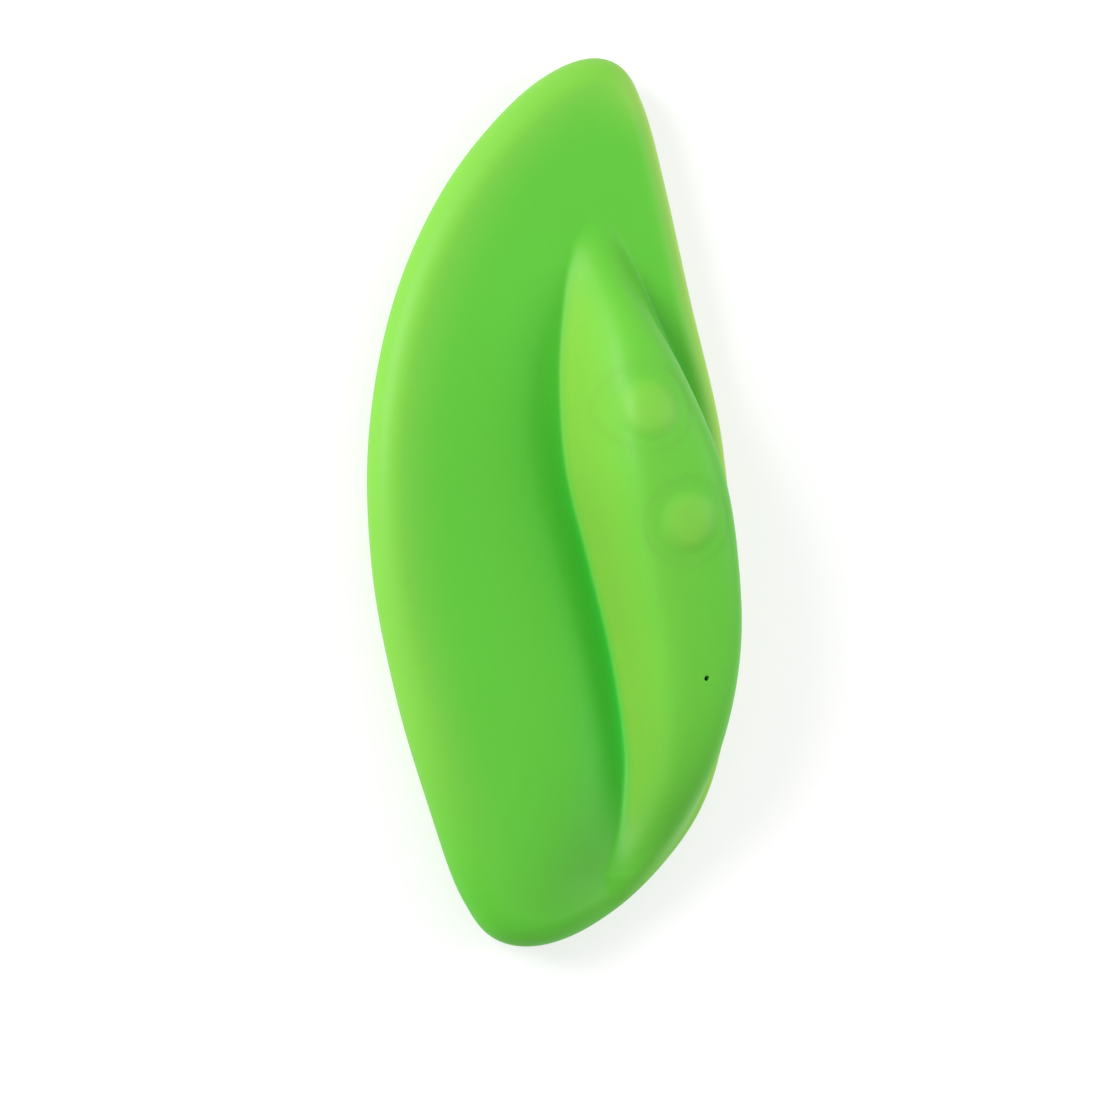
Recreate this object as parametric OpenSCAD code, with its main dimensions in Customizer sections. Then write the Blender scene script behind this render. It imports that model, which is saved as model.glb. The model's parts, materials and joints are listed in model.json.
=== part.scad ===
// Leaf-shaped palm massager: a silicone leaf blade with a pod along one side.
// The pod holds a sealed plastic capsule with a motor, a cell and a control board.
// +Y runs along the leaf, +Z points out of the pod, and Z = 0 is the resting face.
// All sizes are in millimetres.

/* [Leaf] */
// Length of the leaf from tip to tip
leaf_length = 118; // [117:0.5:121]
// Radius of the rounded rim
rim_radius = 4; // [3.4:0.1:4.4]
// Height of the blade's top face in the middle
blade_top = 8.8; // [8.4:0.1:9.6]
// Extra height of the blade's top face at its sides
dish_rise = 0.4; // [0.2:0.1:0.8]
// Extra height of the blade's top face at its tips
tip_rise = 0.2; // [0:0.1:0.6]
// Rise of the underside 30 mm to the side of the resting face
belly_side = 3; // [2.4:0.1:3.4]
// Rise of the underside at the tips
belly_tip = 2.6; // [2:0.1:3]
// Depth that the resting face cuts into the round underside
rest_depth = 0.35; // [0.3:0.05:0.45]

/* [Pod] */
// Length of the pod that stands on the blade
pod_length = 83.6; // [82.4:0.2:84.6]
// Depth over which the pod flows into the blade
fillet = 5; // [4:0.5:6]
// Width of the hollow beside the pod
hollow_width = 12; // [10:0.5:14]

/* [Buttons] */
// Radius of a button's pad
pad_radius = 4.4; // [4.3:0.05:4.4]
// Gap between a pad and the skin around it
pad_gap = 0.15; // [0.1:0.01:0.2]
// Height of a pad's dome over the pod
pad_dome = 0.6; // [0.4:0.05:0.8]
// Travel of a button
travel = 0.35; // [0.2:0.05:0.4]

/* [Capsule] */
// Half width of the capsule at its widest
capsule_half = 7.9; // [7.85:0.05:8]
// Wall of the capsule
wall = 1.1; // [1:0.05:1.2]
// Height where the capsule's walls turn into its dome
dome_base = 8; // [7.8:0.1:8.2]
// Lowest face of the capsule
capsule_floor = 2.6; // [2.5:0.1:2.7]

/* [Motor] */
// Radius of the motor's can
can_radius = 4.5; // [4.3:0.05:4.5]
// Radius of the motor's shaft
shaft_radius = 0.75; // [0.7:0.01:0.76]
// Radius of the eccentric weight
weight_radius = 4; // [3.6:0.1:4.1]
// Height of the motor's axis
motor_z = 8.8; // [8.8:0.02:8.9]

/* [Charging] */
// Radius of the pinhole in the skin
pinhole_radius = 0.35; // [0.3:0.05:0.5]
// Radius of the bore in the charging jack
jack_bore = 1.05; // [1:0.05:1.2]

/* [Hidden] */
$fn = 48;

// ---- Outline and pod as smooth curves through a few control points ----

leaf_half = leaf_length / 2;
size_ratio = leaf_length / 118;
// Share of the half length, centre line's X, half width over the round of the tips
leaf_points = [
    [-1, -3.3, 27.2], [-0.9, -0.45, 26.85], [-0.7, 2.48, 27.1], [-0.45, 2.3, 26.8],
    [-0.15, 0.68, 26.25], [0.15, -0.5, 25.5], [0.45, -0.97, 23.7], [0.7, 0.76, 22.15],
    [0.9, 3.99, 20.7], [1, 6.45, 20.5],
];
pod_middle = -8;
pod_half = pod_length / 2;
// Share of the pod's half length, centre line's X, half width, height, depth of the hollow beside it
pod_points = [
    [-1, 11.6, 7, 2.4, 1.8], [-0.8, 15.2, 7.5, 6.2, 2.2], [-0.6, 17.1, 7.75, 9, 2.5],
    [-0.3, 17.05, 8.55, 11.6, 2.6], [0, 15, 9.4, 13.3, 2.4], [0.3, 12.1, 10.4, 13.8, 1.8],
    [0.6, 9.05, 9.95, 11.9, 1], [0.8, 7.1, 9.2, 9.5, 0.4], [1, 5.6, 9, 6.5, 0],
];
pod_roundness = 6;
rest_x = 4.2;

// Smooth curve through column c of a table whose first column rises
function knot(table, t, i = 0) = i >= len(table) - 2 || t <= table[i + 1][0] ? i : knot(table, t, i + 1);
function slope(table, c, i) =
    let (a = max(i - 1, 0), b = min(i + 1, len(table) - 1))
    (table[b][c] - table[a][c]) / (table[b][0] - table[a][0]);
function curve(table, c, t) =
    let (
        i = knot(table, t),
        h = table[i + 1][0] - table[i][0],
        u = (t - table[i][0]) / h
    )
    (2 * u ^ 3 - 3 * u ^ 2 + 1) * table[i][c] + (u ^ 3 - 2 * u ^ 2 + u) * h * slope(table, c, i)
    + (3 * u ^ 2 - 2 * u ^ 3) * table[i + 1][c] + (u ^ 3 - u ^ 2) * h * slope(table, c, i + 1);
function clip(v, low, high) = max(low, min(high, v));
function share(y) = clip(y / leaf_half, -1, 1);
function leaf_x(y) = size_ratio * curve(leaf_points, 1, share(y));
function leaf_w(y) = size_ratio * curve(leaf_points, 2, share(y)) * sqrt(max(0, 1 - share(y) ^ 2));
function pod_share(y) = (y / size_ratio - pod_middle) / pod_half;
function pod_x(y) = size_ratio * curve(pod_points, 1, clip(pod_share(y), -1, 1));

// Larger of two heights, with a round fillet of depth k where they cross
function blend_max(a, b, k) = max(a, b) + (max(k - abs(a - b), 0) / k) ^ 2 * k / 4;

// Everything about the section at y that doesn't change across it
function section(y) =
    let (
        e = 0.02,
        lo = max(y - e, -leaf_half),
        hi = min(y + e, leaf_half),
        s = clip(pod_share(y), -1, 1)
    )
    [
        y, leaf_x(y), leaf_w(y),
        (leaf_w(hi) ^ 2 - leaf_w(lo) ^ 2) / (hi - lo),
        (leaf_x(hi) - leaf_x(lo)) / (hi - lo),
        pod_share(y), pod_x(y),
        curve(pod_points, 2, s), curve(pod_points, 3, s), curve(pod_points, 4, s)
    ];
// Share of the full thickness, which falls to 0 on the outline in a round rim
function rim_share(st, x) =
    let (
        off = x - st[1],
        inside = max(st[2] ^ 2 - off ^ 2, 0),
        steep = sqrt(4 * off ^ 2 + (st[3] + 2 * off * st[4]) ^ 2),
        depth = inside / max(steep, 0.000001),
        u = min(depth / rim_radius, 1)
    )
    sqrt(max(0, 1 - (1 - u) ^ 2));
function belly(st, x) =
    blend_max(
        belly_side * ((x - rest_x) / 30) ^ 2 + belly_tip * (st[0] / leaf_half) ^ 2 - rest_depth,
        -rest_depth / 2, 0.1
    );
// 0 at the pod's top line and 1 on its foot
function pod_reach(st, x) = sqrt(st[5] ^ 2 + ((x - st[6]) / st[7]) ^ 2);
function blade(st, x) =
    let (out = min(1, max(pod_reach(st, x) - 1, 0) * st[7] / hollow_width))
    blade_top + dish_rise * ((x - st[1]) / 26) ^ 2 + tip_rise * (st[0] / leaf_half) ^ 2
    - st[9] * (1 - out) ^ 5 * (1 + 5 * out);
function full_top(st, x) =
    blade(st, x) + blend_max(st[8] * (1 - pod_reach(st, x) ^ pod_roundness), 0, fillet);
function rim_z(st, x) = (blade(st, x) + belly(st, x)) / 2;
function top_z(st, x) = rim_z(st, x) + (full_top(st, x) - rim_z(st, x)) * rim_share(st, x);
function low_z(st, x) = rim_z(st, x) + (belly(st, x) - rim_z(st, x)) * rim_share(st, x);
function skin_z(x, y) = top_z(section(y), x);

// ---- Lofts ----

// Arc length along z(x) up to each point, with the point's x
function running(points) =
    [for (i = 0, s = 0; i < len(points);
        i = i + 1, s = s + (i < len(points) ? norm(points[i] - points[i - 1]) : 0)) [s, points[i][0]]];
// Shares of a ring's upper points at its left rim, outside and inside the pod's left foot,
// inside the pod's right foot and at its right rim, with the X of each
foot_shares = [0, 0.28, 0.48, 0.78, 1];
function foot_marks(st) =
    let (
        left = st[1] - st[2],
        width = 2 * st[2],
        half = st[7] * sqrt(max(1 - st[5] ^ 2, 0.06)),
        outside = clip(st[6] - half - 2, left + 0.15 * width, left + 0.6 * width),
        inside = clip(st[6] - half + 1.5, outside + 0.05 * width, left + 0.75 * width)
    )
    [left, outside, inside, clip(st[6] + half - 1.5, inside + 0.05 * width, left + 0.93 * width), left + width];
function spread(st, n, upper) =
    let (
        steps = 200,
        fine = [for (i = [0:steps]) let (x = st[1] - st[2] * cos(180 * i / steps))
            [x, upper ? top_z(st, x) : low_z(st, x)]],
        table = running(fine),
        run = [for (p = table) [p[1], p[0]]],
        marks = upper ? foot_marks(st) : [fine[0][0], fine[steps][0]],
        shares = upper ? foot_shares : [0, 1],
        stops = [for (k = [0:len(marks) - 1]) [shares[k], lookup(marks[k], run)]]
    )
    [for (i = [0:n - 1]) let (x = lookup(lookup(i / (n - 1), stops), table))
        [x, st[0], upper ? top_z(st, x) : low_z(st, x)]];
function reversed(list) = [for (i = [len(list) - 1:-1:0]) list[i]];
function middle_of(list) = [for (i = [1:len(list) - 2]) list[i]];
function flat_list(lists) = [for (l = lists) each l];

// Closed skin over rings of the same length, with a point or a flat face at each end
function loft_faces(rings, n) =
    [for (i = [0:rings - 2], j = [0:n - 1]) let (k = (j + 1) % n, a = i * n, b = a + n)
        each [[a + j, b + j, a + k], [b + j, b + k, a + k]]];
module pointed_loft(rings, first, last) {
    n = len(rings[0]);
    m = len(rings);
    tip = n * m;
    polyhedron(
        concat(flat_list(rings), [first, last]),
        concat(
            loft_faces(m, n),
            [for (j = [0:n - 1]) [tip, j, (j + 1) % n]],
            [for (j = [0:n - 1]) [tip + 1, (m - 1) * n + (j + 1) % n, (m - 1) * n + j]]
        )
    );
}
module flat_loft(rings) {
    n = len(rings[0]);
    m = len(rings);
    polyhedron(
        flat_list(rings),
        concat(
            loft_faces(m, n),
            [[for (j = [0:n - 1]) j]],
            [[for (j = [n - 1:-1:0]) (m - 1) * n + j]]
        )
    );
}

// The whole leaf as one solid, with its underside a little below the resting plane
module leaf_body(stations = 60, top_points = 51, low_points = 20) {
    rings = [for (i = [1:stations - 2])
        let (st = section(-leaf_half * cos(180 * i / (stations - 1))))
        concat(spread(st, top_points, true), middle_of(reversed(spread(st, low_points, false))))];
    tips = [for (y = [-leaf_half, leaf_half])
        let (st = section(y)) [st[1], y, rim_z(st, st[1])]];
    pointed_loft(rings, tips[0], tips[1]);
}

// ---- Capsule ----

capsule_middle = -2.5;
capsule_length = 67;
capsule_roundness = 4.2;
capsule_corner = 2;
skin_over_capsule = 1.1;
capsule_gap = 0.1;
// Plane where the capsule's shells meet
seam_z = dome_base - 0.4;

function crest_z(y) = let (st = section(y)) blade(st, st[6]) + st[8] * (1 - abs(st[5]) ^ pod_roundness);
function capsule_share(y, grow) = (y - capsule_middle) / (capsule_length / 2 + grow);
function capsule_z(x, y, grow) =
    let (reach = norm([capsule_share(y, grow), (x - pod_x(y)) / (capsule_half + grow)]))
    dome_base + (crest_z(y) - skin_over_capsule - dome_base + grow)
    * sqrt(max(0, 1 - min(reach, 1) ^ capsule_roundness));

// The capsule's outer form, moved outwards by grow
module capsule_form(grow, stations = 25, dome_points = 14) {
    low = capsule_floor - grow;
    rings = [for (i = [0:stations - 1])
        let (
            y = capsule_middle - (capsule_length / 2 + grow) * cos(4 + 172 * i / (stations - 1)),
            w = (capsule_half + grow) * sqrt(1 - capsule_share(y, grow) ^ 2),
            r = min(capsule_corner + grow, 0.6 * w),
            x0 = pod_x(y)
        )
        concat(
            [for (a = [90:-30:0]) [x0 - w + r - r * cos(a), y, low + r - r * sin(a)]],
            [for (j = [0:dome_points]) let (x = x0 - w * cos(180 * j / dome_points))
                [x, y, capsule_z(x, y, grow)]],
            [for (a = [0:30:90]) [x0 + w - r + r * cos(a), y, low + r - r * sin(a)]]
        )];
    flat_loft(rings);
}
// Everything above or below the shells' seam
half_space = [80, 120, 30];
module above_seam() translate([0, 0, seam_z]) block(half_space);
module below_seam() translate([0, 0, seam_z - half_space[2]]) block(half_space);

// ---- Places of the inner pieces ----

rest_cut = 10;
power_at = [8.3, 12.4];
mode_at = [13.7, -2.7];
pinhole_at = [17.6, -23.4];
shell_screw_at = [for (y = [-30, 25]) [pod_x(y), y]];

motor_at = [13.9, -2];
motor_turn = 14.3;
board_at = [12.2, 2.5];
board_turn = 14;
cell_at = [16.2, -15.6];
cell_turn = 7;

// Puts children on the motor's axis, s along it from the can's rear face
module on_motor(s = 0)
    translate([motor_at[0], motor_at[1], motor_z]) rotate([0, 0, motor_turn]) translate([0, s, 0])
        rotate([-90, 0, 0]) children();
module on_board(x, y, z)
    translate([board_at[0], board_at[1], 0]) rotate([0, 0, board_turn]) translate([x, y, z]) children();
module on_cell(x, y, z)
    translate([cell_at[0], cell_at[1], 0]) rotate([0, 0, cell_turn]) translate([x, y, z]) children();
module block(size) translate([-size[0] / 2, -size[1] / 2, 0]) cube(size);
// Closed ring or tube with a round bore
module ring(outer, inner, length) difference() {
    cylinder(r = outer, h = length);
    translate([0, 0, -1]) cylinder(r = inner, h = length + 2);
}

// ---- Skin ----

module silicone_skin() color("yellowgreen") difference() {
    leaf_body();
    translate([-60, -80, -rest_cut]) cube([120, 160, rest_cut]);
    capsule_form(capsule_gap);
    for (at = [power_at, mode_at])
        translate([at[0], at[1], dome_base + 4]) cylinder(r = pad_radius + pad_gap, h = 20);
    translate([pinhole_at[0], pinhole_at[1], dome_base]) cylinder(r = pinhole_radius, h = 20);
}

// ---- Capsule shells ----

boss_radius = 1.9;
head_boss_radius = 2.4;
screw_radius = 0.8;
screw_head_radius = 1.6;
screw_head_top = 3.75;
screw_tip = 11.2;
board_boss_radius = 1.3;
board_screw_radius = 0.6;
board_bottom = 14;
board_top = 14.8;
// Ends of the board where its screws stand, along the board
board_screw_y = [-13.6, 13.8];
plunger_radius = 1.5;
plunger_gap = 0.2;
jack_top = 12.6;
jack_radius = 2;
snout_bore = 1.25;
sleeve_radius = 5;
// Places of the two cradle ribs along the motor
rib_s = [3.4, 11.4];
rib_size = [15, 1.2, 4];
// Bosses and ribs start inside the back shell's floor
boss_floor = capsule_floor + wall - 0.8;

module front_shell() color("ivory") difference() {
    union() {
        intersection() {
            difference() {
                capsule_form(0);
                capsule_form(-wall);
            }
            above_seam();
        }
        intersection() {
            union() {
                for (at = shell_screw_at)
                    translate([at[0], at[1], seam_z]) cylinder(r = boss_radius, h = 20);
                for (y = board_screw_y)
                    on_board(0, y, board_top + 0.05) cylinder(r = board_boss_radius, h = 20);
                translate([pinhole_at[0], pinhole_at[1], jack_top + 0.05])
                    cylinder(r = jack_radius, h = 20);
            }
            capsule_form(-wall / 2);
        }
    }
    for (at = shell_screw_at)
        translate([at[0], at[1], seam_z - 1]) cylinder(r = screw_radius + 0.03, h = screw_tip + 1.4 - seam_z);
    for (y = board_screw_y)
        on_board(0, y, board_top - 1) cylinder(r = board_screw_radius + 0.03, h = 3.2);
    for (at = [power_at, mode_at])
        translate([at[0], at[1], board_top]) cylinder(r = plunger_radius + plunger_gap, h = 10);
    translate([pinhole_at[0], pinhole_at[1], jack_top - 1]) cylinder(r = snout_bore, h = 10);
}

module back_shell() color("ivory") difference() {
    union() {
        intersection() {
            difference() {
                capsule_form(0);
                capsule_form(-wall);
            }
            below_seam();
        }
        intersection() {
            union() {
                for (at = shell_screw_at)
                    translate([at[0], at[1], boss_floor]) cylinder(r = head_boss_radius, h = 20);
                for (s = rib_s)
                    translate([motor_at[0], motor_at[1], 0]) rotate([0, 0, motor_turn])
                        translate([-rib_size[0] / 2, s, boss_floor]) cube(rib_size);
            }
            capsule_form(-wall / 2);
            below_seam();
        }
    }
    for (at = shell_screw_at) translate([at[0], at[1], 0]) {
        cylinder(r = screw_radius + 0.1, h = 20);
        cylinder(r = screw_head_radius + 0.15, h = screw_head_top + 0.05);
    }
    on_motor(0) cylinder(r = sleeve_radius + 0.05, h = 16);
}

// Pan-head screw with a cross recess, its head down
module pan_screw(shank, head, length, head_height) difference() {
    union() {
        cylinder(r = shank, h = length);
        translate([0, 0, -head_height]) cylinder(r = head, h = head_height);
    }
    for (a = [0, 90]) rotate([0, 0, a])
        translate([0, 0, -head_height - 0.1]) block([head * 1.3, head * 0.3, head_height * 0.6]);
}

module shell_screws() color("silver")
    for (at = shell_screw_at) translate([at[0], at[1], screw_head_top])
        pan_screw(screw_radius, screw_head_radius, screw_tip - screw_head_top, 1.05);

// ---- Motor ----

can_wall = 0.4;
can_length = 16;
bush_radius = 1.3;
bush_gap = 0.03;
end_cap_length = 1.6;
magnet_radius = 4.05;
magnet_thickness = 0.7;
core_radius = 2.95;
core_start = 4.6;
core_length = 7.6;
hub_radius = 1.25;
arm_half = 0.45;
shoe_radius = 2.35;
shoe_angle = 86;
winding_size = [0.66, 0.68];
commutator_radius = 1.5;
commutator_start = 2.5;
commutator_length = 1.6;
terminal_x = 2.5;
terminal_size = [1, 0.3];
shaft_start = 0.2;
shaft_end = 22.4;
weight_start = 17.5;
weight_length = 4.6;

// Flat sector of a disc, centred on the local +Y direction
module sector(radius, angle) intersection() {
    circle(r = radius);
    polygon(concat([[0, 0]], [for (a = [90 - angle / 2:angle / 4:90 + angle / 2])
        3 * radius * [cos(a), sin(a)]]));
}

module motor_can() color("lightgray") on_motor() difference() {
    cylinder(r = can_radius, h = can_length);
    translate([0, 0, -1]) cylinder(r = can_radius - can_wall, h = can_length + 1 - 2 * can_wall);
    cylinder(r = bush_radius, h = can_length + 1);
}
module motor_magnets() color("dimgray") on_motor(core_start - 0.6)
    linear_extrude(core_length + 1.2) for (a = [0, 180]) rotate([0, 0, a]) difference() {
        sector(magnet_radius, 140);
        circle(r = magnet_radius - magnet_thickness);
    }
module motor_end_cap() color("white") on_motor() difference() {
    cylinder(r = can_radius - can_wall - 0.02, h = end_cap_length);
    translate([0, 0, -1]) cylinder(r = bush_radius, h = end_cap_length + 2);
    for (x = [-terminal_x, terminal_x]) translate([x, 0, -1])
        block([terminal_size[1] + 0.1, terminal_size[0] + 0.1, end_cap_length + 2]);
}
module bush(length) ring(bush_radius - 0.01, shaft_radius + bush_gap, length);
module motor_front_bush() color("goldenrod") on_motor(can_length - 1.6) bush(2.2);
module motor_rear_bush() color("goldenrod") on_motor() bush(2);
module motor_brushes() color("peru") on_motor(commutator_start + 0.2)
    for (x = [-1, 1]) translate([x * (commutator_radius + 0.4), 0, 0]) block([0.7, 0.9, 1.1]);
module motor_terminals() color("gold") on_motor()
    for (x = [-1, 1]) {
        translate([x * terminal_x, 0, -1.1])
            block([terminal_size[1], terminal_size[0], 1.1 + commutator_start + 1.3]);
        translate([x * (terminal_x - 0.1), 0, end_cap_length + 1.1]) block([0.3, 0.9, 1.1]);
    }
module motor_sleeve() color("darkslategray") on_motor(2) ring(sleeve_radius, can_radius + 0.02, 12.6);

module motor_shaft() color("silver") on_motor(shaft_start)
    cylinder(r = shaft_radius, h = shaft_end - shaft_start);
module armature_core() color("slategray") on_motor(core_start) linear_extrude(core_length) difference() {
    union() {
        circle(r = hub_radius);
        for (a = [0, 120, 240]) rotate([0, 0, a]) {
            translate([-arm_half, 0]) square([2 * arm_half, shoe_radius + 0.15]);
            difference() {
                sector(core_radius, shoe_angle);
                circle(r = shoe_radius);
            }
        }
    }
    circle(r = shaft_radius);
}
module armature_windings() color("chocolate") on_motor(core_start - 0.4) linear_extrude(core_length + 0.8)
    for (a = [0, 120, 240], side = [-1, 1]) rotate([0, 0, a])
        translate([side * (arm_half + 0.05 + winding_size[0] / 2) - winding_size[0] / 2, hub_radius + 0.08])
            square(winding_size);
module commutator() color("darkorange") on_motor(commutator_start) difference() {
    cylinder(r = commutator_radius, h = commutator_length);
    translate([0, 0, -1]) cylinder(r = shaft_radius, h = commutator_length + 2);
    for (a = [30, 150, 270]) rotate([0, 0, a])
        translate([0, commutator_radius, -1]) block([0.16, 0.6, commutator_length + 2]);
}
module eccentric_weight() color("dimgray") on_motor(weight_start) linear_extrude(weight_length) difference() {
    union() {
        circle(r = 1.7);
        sector(weight_radius, 170);
    }
    circle(r = shaft_radius);
}

// ---- Cell ----

cell_size = [9, 17, 5];
cell_bottom = 4;
cell_edge = 1.2;

// Bar along local Y whose section has rounded edges
module rounded_bar(size, edge) translate([0, size[1] / 2, 0]) rotate([90, 0, 0]) linear_extrude(size[1]) union() {
    for (x = [-1, 1], z = [0, 1])
        translate([x * (size[0] / 2 - edge), edge + z * (size[2] - 2 * edge)]) circle(r = edge);
    translate([-size[0] / 2 + edge, 0]) square([size[0] - 2 * edge, size[2]]);
    translate([-size[0] / 2, edge]) square([size[0], size[2] - 2 * edge]);
}
module battery_cell() color("silver") on_cell(0, 0, cell_bottom) rounded_bar(cell_size, cell_edge);
module battery_tabs() color("gainsboro")
    for (x = [-2.4, 2.4]) on_cell(x, cell_size[1] / 2 + 0.65, cell_bottom + 2.3) block([2, 1.2, 0.15]);
module battery_protection_board() color("darkgreen") {
    on_cell(0, cell_size[1] / 2 + 1.7, cell_bottom + 0.3) block([8, 0.7, 4.4]);
    on_cell(-1.8, cell_size[1] / 2 + 2.35, cell_bottom + 1.6) block([2.4, 0.55, 1.6]);
}
module battery_foam_pad() color("gray") on_cell(0, 0, capsule_floor + wall + 0.03) block([7.6, 14, 0.22]);

// ---- Control board ----

board_length = 31;
board_half = 4.3;

module control_board() color("darkgreen") on_board(0, 0, board_bottom) linear_extrude(board_top - board_bottom)
    difference() {
        union() {
            square([2 * board_half, board_length - 2 * board_half], center = true);
            for (side = [-1, 1]) translate([0, side * (board_length / 2 - board_half)]) circle(r = board_half);
        }
        for (y = board_screw_y) translate([0, y]) circle(r = board_screw_radius + 0.1);
    }
module board_screws() color("silver")
    for (y = board_screw_y) on_board(0, y, board_bottom - 0.02) pan_screw(board_screw_radius, 1, 2.6, 0.5);
// Flat chip with rows of legs on two sides
module chip(size, legs) {
    translate([0, 0, 0.1]) block(size);
    for (side = [-1, 1], i = [0:legs - 1])
        translate([side * (size[0] / 2 + 0.15), (i - (legs - 1) / 2) * size[1] / legs, 0]) block([0.4, 0.22, 0.3]);
}
module microcontroller() color("black") on_board(0.6, 3.4, board_top + 0.01) chip([3.2, 3.4, 0.8], 5);
module charge_chip() color("black") on_board(-0.4, -10, board_top + 0.01) chip([1.6, 2.6, 0.7], 3);
module board_passives() color("tan") {
    for (i = [0:3]) on_board(-2.9, -1.2 - 1.7 * i, board_top + 0.01) block([0.8, 1.1, 0.5]);
    for (i = [0:2]) on_board(3.2, 4.5 + 1.9 * i, board_top + 0.01) block([0.7, 1.2, 0.45]);
    for (i = [0:1]) on_board(2.2, -9.4 - 1.6 * i, board_top + 0.01) block([1.1, 0.8, 0.5]);
    on_board(-2.9, 2.6, board_top + 0.01) block([1, 1.8, 0.8]);
}
module indicator_led() color("white") on_board(2.9, 0.6, board_top + 0.01) block([0.8, 1.6, 0.6]);

// ---- Switches and buttons ----

switch_size = 3.4;
switch_top = 16;
pocket_radius = 1.5;
pocket_floor = 15.1;
cover_thickness = 0.15;
stem_radius = 0.9;
stem_foot = 15.65;
stem_top = 16.8;
dome_height = 0.45;
dome_sheet = 0.1;

module on_switch(at, z) translate([at[0], at[1], z]) rotate([0, 0, board_turn]) children();
module switch_base(at) difference() {
    on_switch(at, board_top + 0.01) block([switch_size, switch_size, switch_top - board_top - 0.01]);
    on_switch(at, pocket_floor) cylinder(r = pocket_radius, h = 2);
}
module switch_cover(at) difference() {
    union() {
        on_switch(at, switch_top) block([switch_size, switch_size, cover_thickness]);
        for (side = [-1, 1]) on_switch(at, switch_top - 0.7) translate([side * (switch_size / 2 + 0.1), 0, 0])
            block([0.16, 1.6, 0.7 + cover_thickness]);
    }
    on_switch(at, switch_top - 1) cylinder(r = stem_radius + 0.1, h = 2);
}
// Thin snap dome on the floor of the switch's pocket
module switch_dome(at) {
    foot = pocket_radius - 0.1;
    ball = (foot ^ 2 + dome_height ^ 2) / (2 * dome_height);
    on_switch(at, pocket_floor + 0.01) rotate_extrude() intersection() {
        difference() {
            translate([0, dome_height - ball]) circle(r = ball);
            translate([0, dome_height - ball]) circle(r = ball - dome_sheet);
        }
        square([foot + 1, dome_height + 1]);
    }
}
module switch_stem(at) on_switch(at, 0) {
    translate([0, 0, stem_foot]) cylinder(r = stem_radius + 0.35, h = 0.25);
    translate([0, 0, stem_foot + 0.25]) cylinder(r = stem_radius, h = stem_top - stem_foot - 0.25);
}
// Distance that a button's pad stands off the capsule at rest
pad_lift = travel + 0.2;
module button_pad(at) {
    sides = 36;
    circles = 7;
    function edge(k, j) = let (r = (pad_radius + 0.4) * k / circles, a = 360 * j / sides)
        [at[0] + r * cos(a), at[1] + r * sin(a), r];
    function crown(p) = skin_z(p[0], p[1]) + pad_dome * (1 - min(1, p[2] / pad_radius) ^ 4) ^ 2;
    function seat(p) = capsule_z(p[0], p[1], 0) + pad_lift;
    tops = [for (k = [circles:-1:1], j = [0:sides - 1]) let (p = edge(k, j)) [p[0], p[1], crown(p)]];
    seats = [for (k = [circles:-1:1], j = [0:sides - 1]) let (p = edge(k, j)) [p[0], p[1], seat(p)]];
    count = circles * sides;
    centre = [at[0], at[1], 0];
    difference() {
        intersection() {
            polyhedron(
                concat(tops, seats, [[at[0], at[1], crown(centre)], [at[0], at[1], seat(centre)]]),
                concat(
                    [for (k = [0:circles - 2], j = [0:sides - 1])
                        let (n = (j + 1) % sides, a = k * sides, b = a + sides)
                        each [[a + j, b + j, b + n], [a + j, b + n, a + n]]],
                    [for (k = [0:circles - 2], j = [0:sides - 1])
                        let (n = (j + 1) % sides, a = count + k * sides, b = a + sides)
                        each [[a + j, b + n, b + j], [a + j, a + n, b + n]]],
                    [for (j = [0:sides - 1]) let (n = (j + 1) % sides)
                        each [[j, n, count + n], [j, count + n, count + j]]],
                    [for (j = [0:sides - 1]) let (n = (j + 1) % sides, a = count - sides)
                        each [[a + n, a + j, 2 * count], [count + a + j, count + a + n, 2 * count + 1]]]
                )
            );
            translate([at[0], at[1], 0]) cylinder(r = pad_radius, h = 40);
        }
        translate([at[0], at[1], 0]) cylinder(r = plunger_radius, h = plunger_top(at));
    }
}
function plunger_top(at) = capsule_z(at[0], at[1], 0) + pad_lift + 0.6;
module button_plunger(at) color("ivory")
    translate([at[0], at[1], stem_top]) cylinder(r = plunger_radius, h = plunger_top(at) - stem_top);

module power_switch_base() color("black") switch_base(power_at);
module power_switch_cover() color("silver") switch_cover(power_at);
module power_switch_dome() color("gold") switch_dome(power_at);
module power_switch_stem() color("dimgray") switch_stem(power_at);
module mode_switch_base() color("black") switch_base(mode_at);
module mode_switch_cover() color("silver") switch_cover(mode_at);
module mode_switch_dome() color("gold") switch_dome(mode_at);
module mode_switch_stem() color("dimgray") switch_stem(mode_at);
module power_button_pad() color("yellowgreen") button_pad(power_at);
module mode_button_pad() color("yellowgreen") button_pad(mode_at);
module power_button_plunger() button_plunger(power_at);
module mode_button_plunger() button_plunger(mode_at);

// ---- Charging jack ----

jack_bottom = 9.7;
jack_floor = 10.4;
contact_wall = 0.15;
contact_gap = 0.04;
centre_radius = 0.3;
tail_width = 0.8;
// Distance from the jack's axis to the ends of its tails, towards the board
tail_reach = 2.5;

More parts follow.
